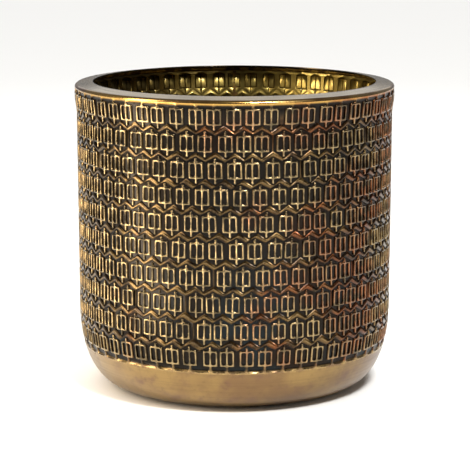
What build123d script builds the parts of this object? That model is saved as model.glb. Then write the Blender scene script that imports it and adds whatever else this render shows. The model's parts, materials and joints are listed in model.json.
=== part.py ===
from build123d import *
import os
from math import cos, radians, sin

# Brass planter pot: a round pot with a straight embossed wall, a turned-in rim and a
# spun base whose side rolls into a flat floor, standing on four thin pads.
# Millimetres, +Z up. The origin is the middle of the surface that the pot stands on.

# Overall sizes
pot_height = 195.0            # standing surface to the top of the rim
pad_thickness = 1.5           # lifts the floor off the furniture
sheet_thickness = 1.0         # wall sheet and base cup

# Rim: a flange that falls a little outwards, whose outer edge rolls down to meet the wall
rim_opening_radius = 89.5
rim_outer_radius = 101.2
rim_thickness = 1.3
rim_fall = 1.55               # mouth to outer edge, so that water runs off
shoulder_radius = 1.8
rim_depth = 3.2               # top of the rim to its joint with the wall

# Wall: a short collar as wide as the rim, a shallow flare in, then a nearly straight drop
collar_depth = 8.0            # these depths are all counted down from the top of the rim
flare_depth = 21.0
wall_radius = 100.0
straight_depth = 143.0
corner_radius = 99.6          # radius where the side starts to roll in
pattern_depth = 168.0         # lower edge of the embossed sheet, where the base cup starts

# Base: the side rolls in to the flat floor on one long curve
floor_radius = 72.3
corner_fullness = 0.60        # 0.55 is an ellipse, and more is squarer

# Brazed joints
seam_gap = 0.8                # between the two ends of the rolled sheet, at the back
seam_width = 4.0              # the run of braze that shows on the inside
seam_proud = 0.6
bead_radius = 1.3             # round bead inside each ring joint
bead_inset = 0.6              # its centre, inside the inner face of the sheet

# Pads
pad_count = 4
pad_radius = 8.0
pad_circle_radius = 55.0
pad_edge = 0.4

# Heights worked out from the sizes above
floor_height = pad_thickness
rim_joint_height = pot_height - rim_depth
base_joint_height = pot_height - pattern_depth
corner_height = pot_height - straight_depth

os.makedirs("parts", exist_ok=True)


def side_outline(inset):
    """Half outline of the pot's body, inset from the outer face and closed along the axis."""
    floor = floor_height + inset
    corner_drop = corner_fullness * (corner_height - floor)
    corner_run = corner_fullness * (corner_radius - inset - floor_radius)
    flare_top = pot_height - collar_depth
    flare_foot = pot_height - flare_depth
    flare_handle = 0.46 * (flare_depth - collar_depth)
    with BuildSketch() as outline:
        with BuildLine():
            Line((0, floor), (floor_radius, floor))
            Bezier(
                (floor_radius, floor),
                (floor_radius + corner_run, floor),
                (corner_radius - inset, corner_height - corner_drop),
                (corner_radius - inset, corner_height),
            )
            Line((corner_radius - inset, corner_height), (wall_radius - inset, flare_foot))
            Bezier(
                (wall_radius - inset, flare_foot),
                (wall_radius - inset, flare_foot + flare_handle),
                (rim_outer_radius - inset, flare_top - flare_handle),
                (rim_outer_radius - inset, flare_top),
            )
            Polyline(
                (rim_outer_radius - inset, flare_top),
                (rim_outer_radius - inset, rim_joint_height),
                (0, rim_joint_height),
                (0, floor),
            )
        make_face()
    return outline.sketch


def shell_section(thickness, low, high):
    """Section of the shell below the rim, between two heights, from its outer face inwards."""
    with BuildSketch(Plane.XZ) as section:
        add(side_outline(0))
        add(side_outline(thickness), mode=Mode.SUBTRACT)
        with Locations((rim_outer_radius / 2, (low + high) / 2)):
            Rectangle(2 * rim_outer_radius, high - low, mode=Mode.INTERSECT)
    return section.sketch


# Rim ring: flange that falls a little outwards, rolled shoulder and a short lip down to the wall
with BuildPart() as rim_ring:
    with BuildSketch(Plane.XZ):
        with BuildLine():
            FilletPolyline(
                (rim_outer_radius, rim_joint_height),
                (rim_outer_radius, pot_height - rim_fall),
                (rim_opening_radius, pot_height),
                radius=shoulder_radius,
            )
            offset(amount=rim_thickness, side=Side.LEFT)
        make_face()
    revolve(axis=Axis.Z)
rim_ring.part.label = "rim_ring"
export_step(rim_ring.part, "parts/rim_ring.step")

# Embossed wall: one sheet rolled round, with its ends meeting at the back
with BuildPart() as wall_sheet:
    add(shell_section(sheet_thickness, base_joint_height, rim_joint_height))
    revolve(axis=Axis.Z)
    with Locations((0, wall_radius, pot_height / 2)):
        Box(seam_gap, wall_radius, pot_height, mode=Mode.SUBTRACT)
wall_sheet.part.label = "wall_sheet"
export_step(wall_sheet.part, "parts/wall_sheet.step")

# Braze that fills the upright seam, flush outside and a little proud inside
with BuildPart() as wall_seam:
    add(shell_section(sheet_thickness + seam_proud, base_joint_height, rim_joint_height))
    revolve(axis=Axis.Z)
    with Locations((0, wall_radius, pot_height / 2)):
        Box(seam_width, wall_radius, pot_height, mode=Mode.INTERSECT)
    add(wall_sheet.part, mode=Mode.SUBTRACT)
wall_seam.part.label = "wall_seam"
export_step(wall_seam.part, "parts/wall_seam.step")

# Spun base cup: the plain band below the embossing, the rolled corner and the floor
with BuildPart() as base_cup:
    add(shell_section(sheet_thickness, floor_height, base_joint_height))
    revolve(axis=Axis.Z)
base_cup.part.label = "base_cup"
export_step(base_cup.part, "parts/base_cup.step")

# Bead of braze inside the joint between the rim and the wall
with BuildPart() as rim_braze:
    with BuildSketch(Plane.XZ):
        with Locations((rim_outer_radius - rim_thickness - bead_inset, rim_joint_height)):
            Circle(bead_radius)
    revolve(axis=Axis.Z)
    add([rim_ring.part, wall_sheet.part, wall_seam.part], mode=Mode.SUBTRACT)
rim_braze.part.label = "rim_braze"
export_step(rim_braze.part, "parts/rim_braze.step")

# Bead of braze inside the joint between the wall and the base cup
cup_rim = base_cup.faces().sort_by(Axis.Z)[-1]
joint_inner_radius = cup_rim.edges().sort_by(SortBy.RADIUS)[0].radius
with BuildPart() as base_braze:
    with BuildSketch(Plane.XZ):
        with Locations((joint_inner_radius - bead_inset, base_joint_height)):
            Circle(bead_radius)
    revolve(axis=Axis.Z)
    add([base_cup.part, wall_sheet.part, wall_seam.part], mode=Mode.SUBTRACT)
base_braze.part.label = "base_braze"
export_step(base_braze.part, "parts/base_braze.step")

# Thin round pads stuck under the floor
for number in range(1, pad_count + 1):
    angle = radians((number - 0.5) * 360 / pad_count)
    with BuildPart() as foot_pad:
        with BuildSketch():
            with Locations((pad_circle_radius * cos(angle), pad_circle_radius * sin(angle))):
                Circle(pad_radius)
        extrude(amount=pad_thickness)
        fillet(foot_pad.edges().group_by(Axis.Z)[0], radius=pad_edge)
    foot_pad.part.label = f"foot_pad_{number}"
    export_step(foot_pad.part, f"parts/foot_pad_{number}.step")
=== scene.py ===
import json
import random
from math import cos, pi, radians, sin

import bpy
import numpy as np
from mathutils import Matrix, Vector, noise
from mathutils.geometry import delaunay_2d_cdt

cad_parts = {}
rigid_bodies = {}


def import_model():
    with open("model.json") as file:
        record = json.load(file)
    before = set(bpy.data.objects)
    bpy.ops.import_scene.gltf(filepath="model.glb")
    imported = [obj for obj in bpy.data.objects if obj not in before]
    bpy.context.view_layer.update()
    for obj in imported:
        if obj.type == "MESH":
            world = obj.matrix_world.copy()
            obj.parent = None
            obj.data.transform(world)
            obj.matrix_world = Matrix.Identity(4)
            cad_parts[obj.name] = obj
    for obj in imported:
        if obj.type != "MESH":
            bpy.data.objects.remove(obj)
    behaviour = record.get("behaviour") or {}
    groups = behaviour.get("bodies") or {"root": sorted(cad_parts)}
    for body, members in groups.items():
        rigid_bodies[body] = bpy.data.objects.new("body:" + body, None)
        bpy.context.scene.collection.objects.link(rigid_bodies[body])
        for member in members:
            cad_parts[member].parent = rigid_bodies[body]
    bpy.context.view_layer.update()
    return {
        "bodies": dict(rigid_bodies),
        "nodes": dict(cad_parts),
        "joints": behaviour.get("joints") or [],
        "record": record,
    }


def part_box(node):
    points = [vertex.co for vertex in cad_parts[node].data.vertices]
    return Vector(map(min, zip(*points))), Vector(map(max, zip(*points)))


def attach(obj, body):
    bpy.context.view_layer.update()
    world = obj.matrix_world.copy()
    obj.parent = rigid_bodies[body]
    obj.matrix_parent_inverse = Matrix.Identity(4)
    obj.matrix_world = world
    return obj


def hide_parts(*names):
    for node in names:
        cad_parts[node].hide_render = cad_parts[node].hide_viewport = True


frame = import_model()
MM = 0.001

# ---------------------------------------------------------------- sizes, in millimetres
# Places come from the frame. The side curve repeats the CAD's driving sizes.
rim_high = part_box("rim_ring")[1] / MM
wall_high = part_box("wall_sheet")[1] / MM
cup_low, cup_high = [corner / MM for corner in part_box("base_cup")]

pot_top = rim_high.z
rim_outer_radius = rim_high.x
rim_opening_radius = 89.5
rim_thickness = 1.3
rim_fall = 1.55
roll_width = 2.4              # the rim's rolled shoulder
edge_round = 0.3              # the worn edges round the mouth

floor_height = cup_low.z
joint_height = cup_high.z     # the wall sheet stands on the base cup here
rim_joint_height = wall_high.z
collar_height = pot_top - 8.0
flare_foot_height = pot_top - 21.0
corner_height = pot_top - 143.0
wall_radius = 100.0
corner_radius = 99.6
floor_radius = 72.3
corner_fullness = 0.60
flare_fullness = 0.46
cup_sheet = 1.0

# Embossing: ten rows of barred frames, punched one by one, so that no two gaps are alike
motifs_round = 54
row_starts = (-0.03, 0.50, 0.0, 0.33, -0.28, 0.04, 0.45, -0.10, 0.32, -0.38)   # in pitches
first_row_depth = 11.3        # below the top of the rim
first_row_pitch = 15.93
row_pitch_growth = 0.091      # each row is set a little further down than the last
punch_drift = 0.55            # how far a punch lands to one side, standard deviation
punch_drift_limit = 1.1
stem_clearance = 3.5          # least sideways distance between stems in neighbouring rows
frame_room = 10.3             # least distance between neighbouring frames in a row
end_room = 5.2                # and between a frame and the cut in the sheet
punch_lift = 0.06             # how far a punch lands up or down, standard deviation
punch_turn = 0.8              # and how far it is turned, in degrees
end_row_care = 0.25           # the first and last rows were set against a guide

relief_depth = 1.1            # raised lines above the floor of the recesses
embossed_sheet = 0.8
bar_half_width = 3.9          # from the middle of the frame to the middle of its side bars
bar_half_height = 4.45
stem_reach = 7.05             # middle of the frame to the middle of its top stem's round tip
foot_reach = 7.75             # and to its bottom stem's
line_foot = 0.72              # half the width of a raised line where it leaves the floor
line_shoulder = 0.45          # half its width where the top starts to round over
recess_reach = {1: 7.88, -1: 8.60}      # middle of the frame to the points of its recess
corner_clearance = 0.38       # left between a frame's corners and the slanted recess wall
recess_wall = 0.32            # run of the sloped side of a recess
wide_gap = 12.6               # where punches are further apart than this, a strip stays between
band_edge = 7.9               # the last row's recesses rise gently to the smooth band
collar_edge = 6.75            # and the first row's to the smooth collar
edge_slope = 1.1

# Levels of the embossing: height as a part of relief_depth, and how far rubbing has cleaned it
FLOOR = (0.0, 0.0)
SHOULDER = (0.80, 0.60)
GROUND = (0.60, 0.20)
RIDGE = (0.92, 0.62)
CREST = (1.0, 1.0)
BORDER = (1.0, 0.55)
STRIP = (0.75, 0.30)
INNER_GROUND = (0.40, 0.30)
INNER_CREST = (0.65, 1.0)


# ---------------------------------------------------------------- side of the pot
def bezier(points, steps):
    """Points along a cubic Bezier curve."""
    a, b, c, d = [np.array(p, float) for p in points]
    t = np.linspace(0.0, 1.0, steps)[:, None]
    return (1 - t) ** 3 * a + 3 * (1 - t) ** 2 * t * b + 3 * (1 - t) * t * t * c + t ** 3 * d


def side_curve(inset):
    """Radius and height along the side, from the flat floor up to the rim joint."""
    floor = floor_height + inset
    drop = corner_fullness * (corner_height - floor)
    run = corner_fullness * (corner_radius - inset - floor_radius)
    rise = flare_fullness * (collar_height - flare_foot_height)
    corner = bezier([
        (floor_radius, floor),
        (floor_radius + run, floor),
        (corner_radius - inset, corner_height - drop),
        (corner_radius - inset, corner_height)], 49)
    flare = bezier([
        (wall_radius - inset, flare_foot_height),
        (wall_radius - inset, flare_foot_height + rise),
        (rim_outer_radius - inset, collar_height - rise),
        (rim_outer_radius - inset, collar_height)], 17)
    collar = [(rim_outer_radius - inset, rim_joint_height)]
    return np.vstack([corner, flare, collar])


outer_side = side_curve(0.0)


def side_radius(height):
    """Radius of the outer face at a height."""
    return float(np.interp(height, outer_side[:, 1], outer_side[:, 0]))


# ---------------------------------------------------------------- meshes
def add_piece(name, vertices, faces, material, nodes, crease=50):
    """A finished piece: its mesh in place of its CAD nodes, with its body, slot and material."""
    mesh = bpy.data.meshes.new(name)
    mesh.from_pydata([Vector(v) * MM for v in vertices], [], faces)
    mesh.polygons.foreach_set("use_smooth", [True] * len(mesh.polygons))
    mesh.set_sharp_from_angle(angle=radians(crease))
    piece = bpy.data.objects.new(name, mesh)
    bpy.context.scene.collection.objects.link(piece)
    mesh.materials.append(material)
    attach(piece, "root")
    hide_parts(*nodes)
    return piece


def turned(section, segments, unevenness, ripple):
    """A closed section of (radius, height) points turned round an axis, a little unevenly.

    Sections run anticlockwise, with radius to the right, so that the faces look outwards.
    unevenness is how far the surface strays and ripple is the length of a stray, in mm."""
    vertices, faces, rings = [], [], []
    for i in range(segments):
        angle = 2 * pi * i / segments
        ring = []
        for j, (radius, height) in enumerate(section):
            if radius == 0 and rings:
                ring.append(rings[0][j])
                continue
            spot = Vector((radius * sin(angle), -radius * cos(angle), height))
            stray = unevenness * noise.noise(spot / ripple) * min(1.0, radius / 20)
            out = Vector((sin(angle), -cos(angle), 0.4))
            ring.append(len(vertices))
            vertices.append(spot + out * stray)
        rings.append(ring)
    for here, there in zip(rings, rings[1:] + rings[:1]):
        for j in range(len(section)):
            k = (j + 1) % len(section)
            corners = dict.fromkeys((here[j], there[j], there[k], here[k]))
            if len(corners) > 2:
                faces.append(tuple(corners))
    return vertices, faces


def arc(centre, radius, start, end, steps):
    """Points on an arc in the section plane, angles in degrees."""
    turns = [radians(start + (end - start) * i / steps) for i in range(steps + 1)]
    return [(centre[0] + radius * cos(a), centre[1] + radius * sin(a)) for a in turns]


# ---------------------------------------------------------------- embossing
girth = 2 * pi * wall_radius
pitch = girth / motifs_round
edge_steps = 4 * motifs_round


class Blank:
    """One face of the unrolled wall sheet: points, their levels and its fold lines."""

    def __init__(self):
        self.points, self.levels, self.folds = [], [], []
        self.left_edge, self.right_edge = [], []
        self.top_edge, self.bottom_edge = [], []

    def line(self, points, levels, closed=False):
        """Add points joined by folds, at one level or a level each, and give their numbers."""
        first = len(self.points)
        self.points += points
        self.levels += levels if isinstance(levels, list) else [levels] * len(points)
        numbers = list(range(first, len(self.points)))
        self.folds += zip(numbers, numbers[1:])
        if closed:
            self.folds.append((numbers[-1], numbers[0]))
        return numbers

    def meet_edges(self, numbers):
        """The line's two ends lie on the cut, which closes up when the sheet is rolled."""
        self.left_edge.append(numbers[0])
        self.right_edge.append(numbers[-1])


def punch_places():
    """Each row as (height, where its cut falls, [(x, y, turn) of every frame])."""
    rng = random.Random(16)
    rows, shift, above = [], 0.0, []
    for row, start in enumerate(row_starts):
        height = pot_top - first_row_depth - first_row_pitch * row
        height -= row_pitch_growth * row * (row - 1) / 2
        shift += (start - 0.5 - shift + 0.5) % 1.0 - 0.5
        cut = (shift - motifs_round / 2) * pitch
        places = []
        for k in range(motifs_round):
            drift = rng.gauss(0.0, punch_drift)
            drift = max(-punch_drift_limit, min(punch_drift_limit, drift))
            x = cut + (k + 0.5) * pitch + drift
            for other in above:
                gap = (x - other + girth / 2) % girth - girth / 2
                if abs(gap) < stem_clearance:
                    x += (stem_clearance - abs(gap)) * (1 if gap > 0 else -1)
            nearest = places[-1][0] + frame_room if places else cut + end_room
            x = max(x, nearest)
            x = min(x, cut + girth - end_room - (motifs_round - 1 - k) * 2 * end_room)
            care = end_row_care if row in (0, len(row_starts) - 1) else 1.0
            lift = care * rng.gauss(0.0, punch_lift)
            turn = care * rng.gauss(0.0, punch_turn)
            places.append((x, height + lift, radians(turn)))
        above = [place[0] for place in places]
        cut = (places[0][0] + places[-1][0] - girth) / 2
        rows.append((height, cut, places))
    return rows


def half_outline(spread, fine, open_side=0, edge=0.0):
    """Right half of a frame's outline from top to bottom.

    open_side is 1 where the collar's edge replaces the top stem's tip, -1 where the band's
    replaces the bottom one's, and edge is how far that edge is from the middle of the frame."""
    wide = bar_half_width + spread
    tall = bar_half_height + spread
    neck = spread
    tip = [(0.0, stem_reach + 0.8 * spread), (spread + 0.12, stem_reach),
           (neck, stem_reach - 1.1)]
    frame = [
        (neck, tall + 0.6), (neck + 0.6, tall), (wide - 1.0, tall), (wide - 0.22, tall - 0.22),
        (wide, tall - 1.0), (wide, 0.9 - tall), (wide + 0.02, 0.2 - tall), (wide - 0.75, -tall),
        (neck + 0.6, -tall), (neck, -tall - 0.6)]
    foot = [(neck, 1.3 - foot_reach), (spread + 0.22, 0.15 - foot_reach),
            (0.0, -foot_reach - 0.8 * spread)]
    if open_side > 0:
        tip = [(neck + 1.0, edge), (neck + 0.15, edge - 0.8)]
    if open_side < 0:
        foot = [(neck + 0.15, 0.8 - edge), (neck + 1.0, -edge)]
    if not fine:
        tip, frame, foot = tip[:1], [frame[i] for i in (0, 1, 3, 6, 8, 9)], foot[-1:]
    return tip + frame + foot


def four_corners(quarter):
    """A closed loop from the points of its upper right corner."""
    loop = list(quarter)
    loop += [(x, -y) for x, y in reversed(quarter)]
    loop += [(-x, -y) for x, y in quarter]
    loop += [(-x, y) for x, y in reversed(quarter)]
    return loop


def window(side, spread, corner):
    """One of the two windows between the bars, its corners cut or rounded off by corner."""
    wide = bar_half_width / 2 - spread
    tall = bar_half_height - spread
    quarter = [(wide, tall)]
    if corner > 0:
        quarter = [(wide - corner, tall), (wide, tall - corner)]
    if corner > 0.8:
        quarter.insert(1, (wide - 0.3 * corner, tall - 0.3 * corner))
    return [(x + side * bar_half_width / 2, y) for x, y in four_corners(quarter)]


def placed(points, place):
    """Points of a frame, moved and turned to where it was punched."""
    x, y, turn = place
    return [(x + a * cos(turn) - b * sin(turn), y + a * sin(turn) + b * cos(turn))
            for a, b in points]


def punch_frame(blank, place, fine, open_side):
    """The raised bars of one frame. open_side is where a smooth edge runs into its stem, or 0."""
    levels = [(0.5, FLOOR, 0.0)]
    if fine:
        levels = [(line_foot, FLOOR, 0.5), (line_shoulder, SHOULDER, 1.0)]
    for spread, level, corner in levels:
        if not open_side:
            right = half_outline(spread, fine)
            left = [(-x, y) for x, y in right[-2:0:-1]]
            blank.line(placed(right + left, place), level, closed=True)
        for side in (-1, 1):
            blank.line(placed(window(side, spread, corner), place), level, closed=True)
    wide, tall = bar_half_width, bar_half_height
    crest = CREST if fine else INNER_CREST
    spine = [(0.0, stem_reach), (0.0, tall), (0.0, 0.0), (0.0, -tall), (0.0, -foot_reach)]
    numbers = blank.line(placed(spine, place)[open_side > 0:5 - (open_side < 0)], crest)
    top, bottom = numbers[1 - (open_side > 0)], numbers[3 - (open_side > 0)]
    for side in (-1, 1):
        bar = [(side * (wide - 0.5), tall), (side * wide, tall - 0.5),
               (side * wide, 0.5 - tall), (side * (wide - 0.5), -tall)]
        numbers = blank.line(placed(bar, place), crest)
        blank.folds += [(top, numbers[0]), (numbers[-1], bottom)]


def recess_wall_line(blank, row, side, reach, run, level):
    """The zigzag wall of a row's recess above (side 1) or below (side -1) its frames."""
    height, cut, places = row
    past_corner = bar_half_height + line_foot + corner_clearance
    slope = (reach - past_corner) / (bar_half_width + line_foot + 0.1)
    reach += run
    points, levels, strips = [], [], []
    for k in range(motifs_round + 1):
        inside = 0 < k < motifs_round
        x = (places[k][0] + places[k - 1][0]) / 2 if inside else cut + girth * (k > 0)
        half_gap = places[k][0] - x if inside else places[0][0] - cut
        valley = height + side * (reach - slope * half_gap)
        if inside and 2 * half_gap > wide_gap and run == 0:
            out = side * slope * 0.7
            strips.append((k, len(points)))
            points += [(x - 0.7, valley + out), (x, valley), (x + 0.7, valley + out)]
            levels += [FLOOR, STRIP, FLOOR]
        else:
            points.append((x, valley))
            levels.append(level)
        if k < motifs_round:
            x, y, turn = places[k]
            points += [(x - 0.45, y + side * reach), (x + 0.45, y + side * reach)]
            levels += [level, level]
    numbers = blank.line(points, levels)
    return numbers, {k: numbers[at:at + 3] for k, at in strips}


def ridge_line(blank, above, below):
    """The ridge half way between two rows' recesses, so that the sheet between them is round."""
    above, below = [np.array([blank.points[i] for i in line]) for line in (above, below)]
    start = (above[0, 0] + below[0, 0]) / 2
    inner = sorted(set(above[1:-1, 0]) | set(below[1:-1, 0]))
    places = [start] + [x for x in inner if start + 0.2 < x < start + girth - 0.2]
    points = []
    for x in places:
        heights = []
        for line in (above, below):
            heights.append(np.interp(x, line[:, 0], line[:, 1], period=girth))
        points.append((float(x), float(sum(heights) / 2)))
    points.append((points[0][0] + girth, points[0][1]))
    return blank.line(points, RIDGE)


def smooth_edge(blank, row, side, spread, edge, level, fine):
    """Edge of the smooth collar above the first row (side 1) or of the band below the last row
    (side -1). It runs into one stem of every frame."""
    height, cut, places = row
    points, levels = [], []
    for k, place in enumerate(places):
        before = places[k - 1][0] if k else None
        x = (place[0] + before) / 2 if k else cut
        points.append((x, height + side * (edge + 0.12)))
        levels.append(level)
        right = half_outline(spread, fine, side, edge)[::-side]
        outline = [(-x, y) for x, y in right[:0:-1]] + right
        points += placed(outline, place)
        frame_level = min(level, SHOULDER)
        levels += [level] + [frame_level] * (len(outline) - 2) + [level]
    points.append((cut + girth, height + side * (edge + 0.12)))
    levels.append(level)
    return blank.line(points, levels)


def embossed_blank(rows, fine):
    """The unrolled outer face (fine) or the softer inner one."""
    blank = Blank()
    first_cut, last_cut = rows[0][1], rows[-1][1]
    steps = [girth * i / edge_steps for i in range(edge_steps + 1)]
    blank.top_edge = blank.line([(first_cut + s, rim_joint_height) for s in steps], BORDER)
    blank.meet_edges(blank.top_edge)
    ground = GROUND if fine else INNER_GROUND
    foot = line_foot if fine else 0.5
    under = None
    for row in rows:
        strips, lines = {}, {}
        for side in (1, -1):
            if row is rows[0] and side > 0 or row is rows[-1] and side < 0:
                edge = collar_edge if side > 0 else band_edge
                lower = smooth_edge(blank, row, side, foot, edge, FLOOR, fine)
                upper = None
                if fine:
                    upper = smooth_edge(
                        blank, row, side, line_shoulder, edge + edge_slope, BORDER, fine)
                strips[side] = {}
            else:
                upper, _ = recess_wall_line(
                    blank, row, side, recess_reach[side], recess_wall, ground)
                lower, strips[side] = recess_wall_line(
                    blank, row, side, recess_reach[side], 0, FLOOR)
            lines[side] = (upper, lower) if side > 0 else (lower, upper)
        if under and fine:
            blank.meet_edges(ridge_line(blank, under, lines[1][0]))
        under = lines[-1][1]
        for numbers in lines[1] + lines[-1]:
            if numbers:
                blank.meet_edges(numbers)
        for k in sorted(set(strips[1]) & set(strips[-1])):
            blank.folds += zip(strips[1][k], strips[-1][k])
        open_side = (row is rows[0]) - (row is rows[-1])
        for place in row[2]:
            punch_frame(blank, place, fine, open_side)
    blank.bottom_edge = blank.line([(last_cut + s, joint_height) for s in steps], BORDER)
    blank.meet_edges(blank.bottom_edge)
    for edge in (blank.left_edge, blank.right_edge):
        blank.folds += zip(edge, edge[1:])
    return blank


def folded(blank):
    """Triangles of the blank, with its two cut edges joined."""
    same = dict(zip(blank.right_edge, blank.left_edge))
    spots = [Vector(point) for point in blank.points]
    spots, _, triangles, origins, _, _ = delaunay_2d_cdt(spots, blank.folds, [], 1, 1e-5, True)
    numbers = []
    for spot, origin in zip(spots, origins):
        if origin:
            numbers.append(same.get(origin[0], origin[0]))
        else:
            numbers.append(len(blank.points))
            blank.points.append((spot.x, spot.y))
            blank.levels.append(STRIP)
    left = np.array([blank.points[i] for i in reversed(blank.left_edge)])
    kept = []
    for triangle in triangles:
        middle = sum((spots[i] for i in triangle), Vector((0.0, 0.0))) / 3
        past_cut = middle.x - np.interp(middle.y, left[:, 1], left[:, 0])
        if 0 < past_cut < girth:
            kept.append(tuple(numbers[i] for i in triangle))
    return kept


def rolled(blank, inset):
    """Places of the blank's points once it is rolled into the wall."""
    flat = np.array(blank.points)
    heights = np.array(blank.levels)[:, 0]
    radius = np.interp(flat[:, 1], outer_side[:, 1], outer_side[:, 0])
    radius -= inset + relief_depth * (1 - heights)
    angle = flat[:, 0] / wall_radius
    return np.column_stack([radius * np.sin(angle), -radius * np.cos(angle), flat[:, 1]])


def wall_mesh():
    """The embossed wall, closed between its two faces: vertices, faces, rubbing and side."""
    rows = punch_places()
    outer = embossed_blank(rows, True)
    inner = embossed_blank(rows, False)
    outer_faces = folded(outer)
    inner_faces = folded(inner)
    vertices = np.vstack([rolled(outer, 0.0), rolled(inner, embossed_sheet)])
    start = len(outer.points)
    rubbed = np.array(outer.levels + inner.levels)[:, 1]
    rubbed[start:] = 1 - rubbed[start:]      # inside, the lines are the grooves
    inside = np.repeat([0.0, 1.0], [start, len(inner.points)])
    faces = outer_faces + [(c + start, b + start, a + start) for a, b, c in inner_faces]
    for i in range(edge_steps):
        j = (i + 1) % edge_steps
        a, b = outer.top_edge[i], outer.top_edge[j]
        c, d = inner.top_edge[j] + start, inner.top_edge[i] + start
        faces.append((a, b, c, d))
        a, b = outer.bottom_edge[i], outer.bottom_edge[j]
        c, d = inner.bottom_edge[j] + start, inner.bottom_edge[i] + start
        faces.append((d, c, b, a))
    used = sorted({i for face in faces for i in face})
    renumbered = {old: new for new, old in enumerate(used)}
    faces = [tuple(renumbered[i] for i in face) for face in faces]
    return vertices[used], faces, rubbed[used], inside[used]


# ---------------------------------------------------------------- materials
def colour(code):
    """Linear colour from an sRGB hex value."""
    parts = [int(code[i:i + 2], 16) / 255 for i in (1, 3, 5)]
    return [p / 12.92 if p <= 0.04045 else ((p + 0.055) / 1.055) ** 2.4 for p in parts] + [1.0]


def add_node(owner, kind, settings=None, links=None, output=0):
    """One node of a material or world, with its settings and its incoming links."""
    node = owner.node_tree.nodes.new(kind)
    for name, value in (settings or {}).items():
        if isinstance(name, str) and hasattr(node, name):
            setattr(node, name, value)
        else:
            node.inputs[name].default_value = value
    for name, source in (links or {}).items():
        owner.node_tree.links.new(source, node.inputs[name])
    return node.outputs[output] if node.outputs else None


# Settings that many nodes share. A smooth range eases its input from sockets 1..2 to sockets
# 3..4, which are 0..1 unless given. A colour mix goes from socket 6 to socket 7, and its
# result is output 2.
SMOOTH = {"interpolation_type": "SMOOTHSTEP"}
COLOURS = {"data_type": "RGBA"}
PRODUCT = {"operation": "MULTIPLY"}
SUM = {"operation": "ADD"}


def new_material(name):
    """An empty material, its place on the pot in metres, and its shader."""
    material = bpy.data.materials.new(name)
    material.use_nodes = True
    material.node_tree.nodes.clear()
    place = add_node(material, "ShaderNodeTexCoord", output="Object")
    surface = add_node(material, "ShaderNodeBsdfPrincipled")
    add_node(material, "ShaderNodeOutputMaterial", links={"Surface": surface})
    return material, place, surface.node


def round_the_axis(material, place, length_mm, width_mm):
    """Noise drawn out round the pot, for marks of work turned against a tool; and the radius."""
    parts = add_node(material, "ShaderNodeSeparateXYZ", links={0: place}).node.outputs
    squares = [add_node(material, "ShaderNodeMath", PRODUCT, {0: parts[i], 1: parts[i]})
               for i in (0, 1)]
    square = add_node(material, "ShaderNodeMath", SUM, {0: squares[0], 1: squares[1]})
    radius = add_node(material, "ShaderNodeMath", {"operation": "SQRT"}, {0: square})
    out = add_node(material, "ShaderNodeMath", SUM, {0: radius, 1: parts[2]})
    scaled = [add_node(material, "ShaderNodeMath", {**PRODUCT, 1: 1 / (size * MM)}, {0: part})
              for part, size in ((parts[0], length_mm), (parts[1], length_mm), (out, width_mm))]
    spot = add_node(material, "ShaderNodeCombineXYZ", links=dict(enumerate(scaled)))
    marks = add_node(material, "ShaderNodeTexNoise", {"Scale": 1.0, "Detail": 3.0},
                     {"Vector": spot})
    return marks, radius


def washed(material, base, tint, source, none, full):
    """base with tint laid over it, from none of it to full as source runs between those two.

    base and tint are each a hex value or another colour."""
    amount = add_node(material, "ShaderNodeMapRange", {**SMOOTH, 1: none, 2: full}, {0: source})
    settings, links = {**COLOURS}, {0: amount}
    for socket, tone in ((6, base), (7, tint)):
        if isinstance(tone, str):
            settings[socket] = colour(tone)
        else:
            links[socket] = tone
    return add_node(material, "ShaderNodeMix", settings, links, 2)


def lacquered(shader, weight, roughness):
    """Metal under a thin clear lacquer, which keeps the patina and adds a white gloss."""
    shader.inputs["Metallic"].default_value = 1.0
    shader.inputs["Coat Weight"].default_value = weight
    shader.inputs["Coat Roughness"].default_value = roughness
    shader.inputs["Coat IOR"].default_value = 1.5


def finish(material, shader, base, roughness, grain, depth_mm):
    """Join a colour, a roughness and a grain depth_mm deep to the shader."""
    normal = add_node(material, "ShaderNodeBump", {"Distance": depth_mm * MM, "Strength": 1.0},
                      {"Height": grain})
    for socket, source in (("Base Color", base), ("Roughness", roughness), ("Normal", normal)):
        material.node_tree.links.new(source, shader.inputs[socket])


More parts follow.
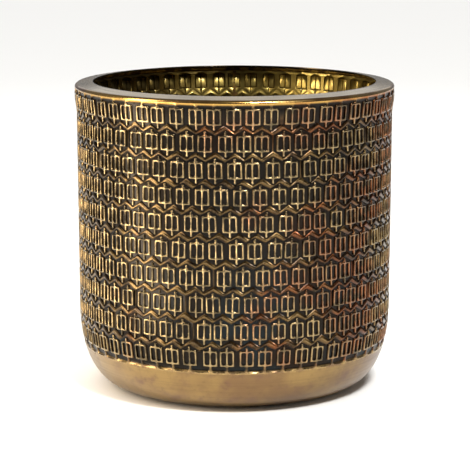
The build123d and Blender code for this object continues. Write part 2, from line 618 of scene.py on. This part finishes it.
def antiqued_embossed_brass():
    """Brass sheet darkened in a liver-of-sulphur bath, then rubbed back and thinly lacquered.

    The rubbed lines show worn brass, the ground between them a brown patina that turns coppery
    on one side, and the recesses keep the dark bath colour, with a painted slate reflection in
    the lower ones. Inside, the bath only dulled the sheet to olive gold and stayed dark in the
    grooves; the inside is also painted darker towards -X and lighter towards +X, as painted
    shade and painted light for how the light falls inside."""
    material, place, shader = new_material("antiqued_brass")
    rubbed, inside = [
        add_node(material, "ShaderNodeAttribute", {"attribute_name": label}, output="Fac")
        for label in ("rubbed", "inside")]
    across, _, up = add_node(material, "ShaderNodeSeparateXYZ", links={0: place}).node.outputs
    patches, blotches, specks, stains = [
        add_node(material, "ShaderNodeTexNoise",
                 {"Scale": 1 / (size * MM), "Detail": detail, "Roughness": 0.55},
                 {"Vector": place})
        for size, detail in ((42.0, 3.0), (7.0, 4.0), (1.6, 2.0), (30.0, 2.0))]

    # the coppery patches gather towards +X, and a painted slate reflection lies in the lower half
    lean = add_node(material, "ShaderNodeMapRange",
                    {**SMOOTH, 1: -60 * MM, 2: 90 * MM, 3: -0.14, 4: 0.11}, {0: across})
    copper = add_node(material, "ShaderNodeMath", SUM, {0: patches, 1: lean})
    slate_reflection_patches = add_node(material, "ShaderNodeMapRange", {**SMOOTH, 1: 0.46, 2: 0.62}, {0: stains})
    low_down = add_node(material, "ShaderNodeMapRange",
                        {**SMOOTH, 1: 45 * MM, 2: 110 * MM, 3: 1.0, 4: 0.15}, {0: up})
    slate = add_node(material, "ShaderNodeMath", PRODUCT, {0: slate_reflection_patches, 1: low_down})

    dark, ground, line, collar = [
        washed(material, plain, coppery, copper, 0.48, 0.68)
        for plain, coppery in (("#17120C", "#1C1108"), ("#5E4A2B", "#64381D"),
                               ("#98845F", "#866248"), ("#A98545", "#8F5B30"))]
    # painted reflection: a slate tint over the dark recess patina, low on the pot
    dark = add_node(material, "ShaderNodeMix", {**COLOURS, 7: colour("#151B1D")},
                    {0: slate, 6: dark}, 2)
    ground, line, band, olive = [
        washed(material, clear, dull, blotches, 0.40, 0.66)
        for clear, dull in ((ground, "#302417"), (line, "#574C37"),
                            ("#927A50", "#735B41"), ("#9A8646", "#85713A"))]

    outside = washed(material, dark, ground, rubbed, 0.02, 0.40)
    outside = washed(material, outside, line, rubbed, 0.50, 0.80)
    band_border = (joint_height + 1.2) * MM
    collar_border = (rim_joint_height - 1.8) * MM
    outside = washed(material, band, outside, up, band_border, band_border + 1.4 * MM)
    outside = washed(material, outside, collar, up, collar_border, collar_border + 1.4 * MM)
    # painted shade and light: the inside is painted darker towards -X and lighter towards +X; the
    # grooves then get their dark patina
    lining_patina_and_painted_shade = washed(material, "#4E4020", olive, across, -80 * MM, 30 * MM)
    lining_patina_and_painted_shade = washed(material, "#3C2F17", lining_patina_and_painted_shade, rubbed, 0.10, 0.60)
    base = add_node(material, "ShaderNodeMix", COLOURS, {0: inside, 6: outside, 7: lining_patina_and_painted_shade}, 2)

    worn = add_node(material, "ShaderNodeMapRange", {**SMOOTH, 3: 0.34, 4: 0.20}, {0: rubbed})
    duller = add_node(material, "ShaderNodeMath", {**PRODUCT, 1: 0.14}, {0: inside})
    grain = add_node(material, "ShaderNodeMapRange",
                     {**SMOOTH, 1: 0.3, 2: 0.7, 3: -0.05, 4: 0.07}, {0: specks})
    roughness = add_node(material, "ShaderNodeMath", SUM, {0: worn, 1: duller})
    roughness = add_node(material, "ShaderNodeMath", SUM, {0: roughness, 1: grain})
    lacquered(shader, 0.15, 0.14)
    finish(material, shader, base, roughness, specks, 0.02)
    return material


def satin_rim_brass():
    """Turned yellow brass. The flat is painted a paler, greyer tan than the shoulder, a painted
    reflection of the bright studio above it; the rolled shoulder was buffed with the wall and has
    kept a warmer gold. The thin edge round the mouth is painted dark, as painted shade."""
    material, place, shader = new_material("satin_brass")
    marks, radius = round_the_axis(material, place, 30.0, 0.7)
    patches = add_node(material, "ShaderNodeTexNoise",
                       {"Scale": 1 / (30.0 * MM), "Detail": 3.0, "Roughness": 0.55},
                       {"Vector": place})
    # painted reflection: the flat top is a paler, greyer tan, for the bright studio it mirrors
    flat_tan_painted_reflection = washed(material, "#C0A87C", "#A08A5C", patches, 0.42, 0.66)
    gold = washed(material, "#B8924C", "#8E6232", patches, 0.42, 0.66)
    roll_start = (rim_outer_radius - roll_width) * MM
    mouth_edge = rim_opening_radius * MM
    base = washed(material, flat_tan_painted_reflection, gold, radius, roll_start, roll_start + 1.2 * MM)
    # painted shade: the thin edge round the mouth is painted dark
    base = washed(material, "#2A2013", base, radius, mouth_edge + 0.1 * MM, mouth_edge + 0.4 * MM)
    base = washed(material, base, "#8E7650", marks, 0.45, 0.85)
    roughness = add_node(material, "ShaderNodeMapRange",
                         {**SMOOTH, 1: 0.3, 2: 0.7, 3: 0.17, 4: 0.27}, {0: marks})
    lacquered(shader, 0.5, 0.12)
    finish(material, shader, base, roughness, marks, 0.02)
    return material


def brushed_base_brass():
    """Spun yellow brass, brushed round on the lathe and left to tarnish: faint long streaks under
    a soft brown bloom that lies in patches."""
    material, place, shader = new_material("brushed_brass")
    streaks, _ = round_the_axis(material, place, 60.0, 0.9)
    bloom, blush, mist = [
        add_node(material, "ShaderNodeTexNoise",
                 {"Scale": 1 / (size * MM), "Detail": detail, "Roughness": rough},
                 {"Vector": place})
        for size, detail, rough in ((30.0, 4.0, 0.55), (13.0, 3.0, 0.55), (3.5, 5.0, 0.65))]
    base = washed(material, "#8C7245", "#745A3B", bloom, 0.38, 0.66)
    base = washed(material, base, "#6E533E", blush, 0.50, 0.74)
    base = washed(material, base, "#55422C", streaks, 0.45, 1.30)
    base = washed(material, base, "#55422C", mist, 0.50, 0.95)
    roughness = add_node(material, "ShaderNodeMapRange",
                         {**SMOOTH, 1: 0.3, 2: 0.7, 3: 0.34, 4: 0.42}, {0: streaks})
    lacquered(shader, 0.3, 0.28)
    finish(material, shader, base, roughness, streaks, 0.015)
    return material


def dull_braze():
    """Braze metal as it cooled: a duller, rougher yellow than the sheet, with flux stains."""
    material, place, shader = new_material("dull_braze_metal")
    grain, flux = [
        add_node(material, "ShaderNodeTexNoise",
                 {"Scale": 1 / (size * MM), "Detail": detail, "Roughness": 0.55},
                 {"Vector": place})
        for size, detail in ((1.2, 3.0), (8.0, 2.0))]
    base = washed(material, "#A5843F", "#5A4426", flux, 0.4, 0.6)
    roughness = add_node(material, "ShaderNodeMapRange",
                         {**SMOOTH, 1: 0.3, 2: 0.7, 3: 0.45, 4: 0.65}, {0: grain})
    shader.inputs["Metallic"].default_value = 1.0
    finish(material, shader, base, roughness, grain, 0.10)
    return material


def pressed_felt():
    """Dark pressed wool felt: no gloss, short tangled fibres that catch light at the edge."""
    material, place, shader = new_material("pressed_wool_felt")
    fibres = add_node(material, "ShaderNodeTexNoise",
                      {"Scale": 1 / (0.5 * MM), "Detail": 5.0, "Roughness": 0.7},
                      {"Vector": place})
    base = washed(material, "#2B2622", "#4A433C", fibres, 0.35, 0.65)
    roughness = add_node(material, "ShaderNodeMapRange",
                         {**SMOOTH, 1: 0.3, 2: 0.7, 3: 0.9, 4: 1.0}, {0: fibres})
    shader.inputs["Sheen Weight"].default_value = 0.35
    shader.inputs["Sheen Roughness"].default_value = 0.5
    finish(material, shader, base, roughness, fibres, 0.3)
    return material


# ---------------------------------------------------------------- pieces
def straight(start, end, steps):
    """Points on a straight run, without its last one."""
    return [(start[0] + (end[0] - start[0]) * i / steps,
             start[1] + (end[1] - start[1]) * i / steps) for i in range(steps)]


def make_rim(material):
    """Rim ring: the flange falls a little outwards, then rolls full and round to the wall."""
    slope = rim_fall / (rim_outer_radius - rim_opening_radius)
    tilt = float(np.degrees(np.arctan(slope)))
    roll_start = rim_outer_radius - roll_width
    roll_top = pot_top - slope * (roll_start - rim_opening_radius)
    roll_drop = roll_top - rim_joint_height
    section = [(roll_start + roll_width * cos(a), rim_joint_height + roll_drop * sin(a) ** 1.1)
               for a in [radians(90 * i / 12) for i in range(12)]]
    mouth = (rim_opening_radius + edge_round, pot_top - edge_round)
    section += straight((roll_start, roll_top), (mouth[0], pot_top), 8)
    section += arc(mouth, edge_round, 90, 180, 4)
    lip = (mouth[0], pot_top - rim_thickness + edge_round)
    section += arc(lip, edge_round, 180, 270 - tilt, 4)
    inner_roll = (roll_start, rim_joint_height + roll_drop - rim_thickness)
    section += straight(section[-1], inner_roll, 6)[1:]
    section += [(roll_start + (roll_width - rim_thickness) * sin(a),
                 rim_joint_height + (roll_drop - rim_thickness) * cos(a))
                for a in [radians(90 * i / 6) for i in range(7)]]
    vertices, faces = turned(section, 288, 0.10, 26.0)
    return add_piece("rim", vertices, faces, material, ["rim_ring"])


def make_wall(material):
    """The embossed sheet, with how far each spot is rubbed clean kept on the mesh."""
    vertices, faces, rubbed, inside = wall_mesh()
    piece = add_piece(
        "embossed_wall", vertices, faces, material, ["wall_sheet"])
    for label, values in (("rubbed", rubbed), ("inside", inside)):
        layer = piece.data.attributes.new(label, "FLOAT", "POINT")
        layer.data.foreach_set("value", values)
    return piece


def make_base(material):
    """Base cup: smooth band, rolled corner and floor."""
    outer = [tuple(p) for p in outer_side if p[1] < joint_height]
    inner = [tuple(p) for p in side_curve(cup_sheet) if p[1] < joint_height]
    outer_top = (side_radius(joint_height), joint_height)
    inner_top = (side_radius(joint_height) - cup_sheet, joint_height)
    section = straight((0.0, floor_height), outer[0], 8) + outer + [outer_top, inner_top]
    section += inner[::-1]
    section += straight((inner[0][0], inner[0][1]), (0.0, inner[0][1]), 8)[1:]
    section.append((0.0, inner[0][1]))
    vertices, faces = turned(section, 256, 0.12, 30.0)
    return add_piece("base", vertices, faces, material, ["base_cup"])


def make_bead(name, radius, height, back, material, node):
    """A run of braze round a joint, lumpy as it cooled; back is the face it lies against."""
    section = [(back, height - 1.2)] + [(back, height + 1.1)]
    section += arc((radius, height), 1.25, 115, 245, 8)
    vertices, faces = turned(section, 360, 0.25, 3.2)
    return add_piece(name, vertices, faces, material, [node])


def make_seam(material):
    """Braze down the upright joint at the back, dressed down level with the pads inside."""
    low, high = joint_height + 1.4, rim_joint_height - 1.4
    steps = 120
    backing = 1.25                # depth under the outer face, within the sheet's relief
    across = [-2.2, -1.5, -0.6, 0.6, 1.5, 2.2]
    depth = [1.5, 1.8, 1.95, 1.95, 1.8, 1.5]
    section = list(zip(across, depth)) + [(2.0, backing), (-2.0, backing)]
    vertices, faces = [], []
    for i in range(steps + 1):
        height = low + (high - low) * i / steps
        for x, inset in section:
            lump = 0.12 * noise.noise(Vector((x * 0.3, 7.0, height * 0.35)))
            radius = side_radius(height) - inset - lump * (inset > backing)
            sideways = x + 0.3 * noise.noise(Vector((0.0, x, height * 0.12)))
            vertices.append(Vector((sideways, radius, height)))
    ring = len(section)
    for i in range(steps):
        for j in range(ring):
            k = (j + 1) % ring
            faces.append((i * ring + j, i * ring + k, (i + 1) * ring + k, (i + 1) * ring + j))
    faces.append(tuple(range(ring))[::-1])
    faces.append(tuple(steps * ring + j for j in range(ring)))
    return add_piece("seam", vertices, faces, material, ["wall_seam"])


def make_pads(material):
    """Felt pads stuck under the floor."""
    for number in range(1, 5):
        node = f"foot_pad_{number}"
        low, high = [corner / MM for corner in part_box(node)]
        middle = (low + high) / 2
        radius, soft = (high.x - low.x) / 2, 0.45
        section = [(0.0, low.z)] + straight((2.0, low.z), (radius - soft, low.z), 3)
        section += arc((radius - soft, low.z + soft), soft, -90, 0, 4)
        section += arc((radius - soft / 2, high.z - soft / 2), soft / 2, 0, 90, 2)
        section += [(radius / 2, high.z), (0.0, high.z)]
        vertices, faces = turned(section, 56, 0.0, 1.0)
        moved = [v + Vector((middle.x, middle.y, 0.0)) for v in vertices]
        add_piece(f"felt_pad_{number}", moved, faces, material, [node])


# ---------------------------------------------------------------- camera, floor and light
def make_camera():
    """In front of the pot and a little above its rim, looking slightly down."""
    camera = bpy.data.objects.new("camera", bpy.data.cameras.new("camera"))
    bpy.context.scene.collection.objects.link(camera)
    distance, above_rim, tilt = 1.3174, 0.14397, 10.494
    camera.location = (0.0, -distance, pot_top * MM + above_rim)
    camera.rotation_euler = (radians(90 - tilt), 0.0, 0.0)
    camera.data.sensor_width = 36.0
    camera.data.lens = 159.7
    camera.data.shift_x = 0.0011
    bpy.context.scene.camera = camera


def pale_floor():
    """Matt pale paper, which scatters light and has no gloss."""
    material = bpy.data.materials.new("pale_paper")
    material.use_nodes = True
    material.node_tree.nodes.clear()
    paper = add_node(material, "ShaderNodeBsdfDiffuse", {"Color": colour("#F4F3F0")})
    add_node(material, "ShaderNodeOutputMaterial", links={"Surface": paper})
    return material


def softbox(name, place, aim, size, power, code):
    """A soft rectangular lamp aimed at a point, which the camera doesn't see."""
    light = bpy.data.lights.new(name, "AREA")
    light.shape, light.size, light.size_y = "RECTANGLE", size[0], size[1]
    light.energy = power
    light.color = colour(code)[:3]
    lamp = bpy.data.objects.new(name, light)
    bpy.context.scene.collection.objects.link(lamp)
    lamp.location = place
    lamp.rotation_euler = (Vector(aim) - Vector(place)).to_track_quat("-Z", "Y").to_euler()
    lamp.visible_camera = False


def make_studio():
    """A plain pale floor, one broad light for it, and soft boxes for the metal to mirror."""
    mesh = bpy.data.meshes.new("floor")
    level = -0.1 * MM
    corners = [(-6, -6, level), (6, -6, level), (6, 6, level), (-6, 6, level)]
    mesh.from_pydata(corners, [], [(0, 1, 2, 3)])
    floor = bpy.data.objects.new("floor", mesh)
    bpy.context.scene.collection.objects.link(floor)
    mesh.materials.append(pale_floor())
    middle = (0.0, 0.0, 0.1)
    daylight = bpy.data.lights.new("floor_light", "SUN")
    daylight.energy = 2.7
    daylight.angle = radians(80)
    lamp = bpy.data.objects.new("floor_light", daylight)
    bpy.context.scene.collection.objects.link(lamp)
    lamp.rotation_euler = (radians(-10), radians(-10), 0.0)
    lamp.visible_glossy = False      # it lights the paper, and the metal only mirrors the boxes
    softbox("key_left", (-0.79, -0.29, 0.44), middle, (0.26, 0.80), 9.5, "#FFEFD8")
    softbox("low_left", (-0.65, -0.23, 0.004), (-0.65, -0.23, 1.0), (0.80, 0.18), 6.5, "#FFEFD8")
    softbox("front_right", (0.62, -0.95, 0.50), middle, (0.22, 0.35), 0.8, "#FFF6EA")
    softbox("high_front", (0.30, -0.70, 0.98), middle, (0.26, 0.20), 16.0, "#FFFFFF")
    softbox("back_card", (0.0, 1.50, 0.75), (0.0, 0.0, 0.2), (1.40, 0.50), 1.2, "#FFFFFF")
    make_room()


def make_room():
    """A white backdrop for the camera; what the metal mirrors is dimmer on the camera's side."""
    world = bpy.data.worlds.new("studio")
    bpy.context.scene.world = world
    world.use_nodes = True
    world.node_tree.nodes.clear()
    direction = add_node(world, "ShaderNodeTexCoord", output="Generated")
    front_to_back = add_node(world, "ShaderNodeSeparateXYZ", links={0: direction}, output="Y")
    strength = add_node(world, "ShaderNodeMapRange",
                        {"From Min": -1.0, "From Max": 0.8, "To Min": 0.10, "To Max": 0.24},
                        {"Value": front_to_back})
    room = add_node(world, "ShaderNodeBackground", {"Color": colour("#F6F7FA")},
                    {"Strength": strength})
    backdrop = add_node(world, "ShaderNodeBackground", {"Color": colour("#FFFFFF")})
    camera_ray = add_node(world, "ShaderNodeLightPath", output="Is Camera Ray")
    seen = add_node(world, "ShaderNodeMixShader", links={0: camera_ray, 1: room, 2: backdrop})
    add_node(world, "ShaderNodeOutputWorld", links={0: seen})


bpy.context.scene.view_settings.view_transform = "Standard"
make_camera()
braze = dull_braze()
make_rim(satin_rim_brass())
make_wall(antiqued_embossed_brass())
make_base(brushed_base_brass())
make_bead("rim_bead", 99.3, rim_joint_height, 99.95, braze, "rim_braze")
cup_inner = side_radius(joint_height) - cup_sheet
make_bead("base_bead", cup_inner - 0.6, joint_height, cup_inner - 0.05, braze, "base_braze")
make_seam(braze)
make_pads(pressed_felt())
make_studio()

bpy.context.view_layer.update()
